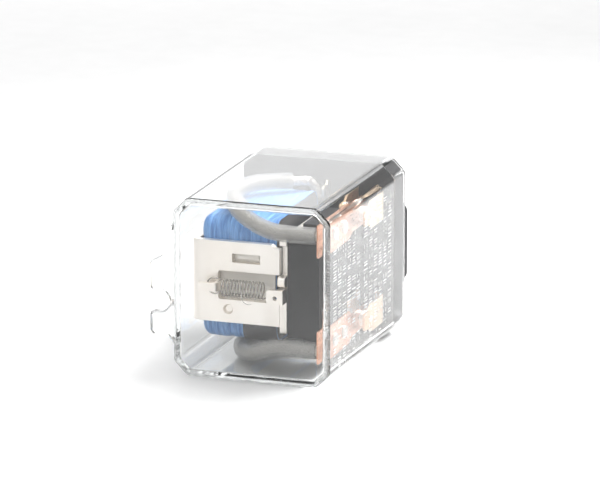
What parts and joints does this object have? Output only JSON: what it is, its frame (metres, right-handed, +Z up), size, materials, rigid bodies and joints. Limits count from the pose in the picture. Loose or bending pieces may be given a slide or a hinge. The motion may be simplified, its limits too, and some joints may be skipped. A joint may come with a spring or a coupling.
{
  "type": "plug in relay",
  "caption": "Plug-in power relay with two changeover poles: clear cover with side ear, taped coil, sprung armature, sleeved pigtails and quick-connect blades.",
  "frame": {"origin": "under the middle of the bounding box, at the lowest face, with the relay lying on its side", "axes": "+Y is the plug-in direction of the blades, -Y the closed end of the cover, +Z is up and runs from the lower pole to the upper pole, +X is the contact side, -X the ear"},
  "size_m": [0.0404, 0.0574, 0.0389],
  "materials": {
    "clear_plastic": "clear moulded polycarbonate, glossy",
    "black_moulding": "black thermoset moulding",
    "carrier_moulding": "black nylon moulding",
    "nickel_steel": "bright nickel-plated steel",
    "rivet_steel": "plated rivet",
    "core_steel": "soft iron, plated",
    "spring_steel": "spring wire",
    "copper": "bare copper",
    "tinned_braid": "braided tinned copper",
    "enamelled_copper": "enamelled copper wire",
    "bronze": "phosphor bronze strip",
    "contact_brass": "brass strip",
    "tinned_brass": "tinned brass",
    "silver": "silver alloy",
    "bobbin_nylon": "black nylon",
    "blue_tape": "blue polyester film tape",
    "black_tape": "black tape",
    "saddle_nylon": "natural moulding",
    "clear_sleeve": "translucent flexible sleeving"
  },
  "bodies": {
    "housing": {"cover": "clear_plastic", "base": "black_moulding", "yoke_frame": "nickel_steel", "frame_rivets": "rivet_steel", "core": "core_steel", "shading_ring": "copper", "bobbin": "bobbin_nylon", "coil_winding": "enamelled_copper", "coil_tape": "blue_tape", "lead_patch": "black_tape", "coil_saddle": "saddle_nylon", "return_spring": "spring_steel", "nc_contact_upper": "silver", "no_contact_upper": "silver", "terminal_nc_upper": "contact_brass", "terminal_no_upper": "contact_brass", "terminal_common_upper": "tinned_brass", "terminal_coil_upper": "tinned_brass", "coil_lead_upper": "enamelled_copper", "pigtail_upper": "tinned_braid", "pigtail_sleeve_upper": "clear_sleeve", "nc_contact_lower": "silver", "no_contact_lower": "silver", "terminal_nc_lower": "contact_brass", "terminal_no_lower": "contact_brass", "terminal_common_lower": "tinned_brass", "terminal_coil_lower": "tinned_brass", "coil_lead_lower": "enamelled_copper", "pigtail_lower": "tinned_braid", "pigtail_sleeve_lower": "clear_sleeve"},
    "armature_group": {"armature": "nickel_steel", "contact_carrier": "carrier_moulding", "carrier_rivets": "rivet_steel", "blade_rivets": "rivet_steel", "moving_blade_upper": "bronze", "moving_blade_lower": "bronze", "moving_contact_upper": "silver", "moving_contact_lower": "silver"}
  },
  "joints": [
    {"name": "armature_hinge", "type": "hinge", "parent": "housing", "child": "armature_group", "pos_m": [0.00588, -0.0195, 0.01945], "axis": [0, 0, 1], "range_deg": [0, 3.3], "stiffness_Nm_per_rad": 0.05, "springref_deg": -2.86, "deforming": ["return_spring"]}
  ]
}
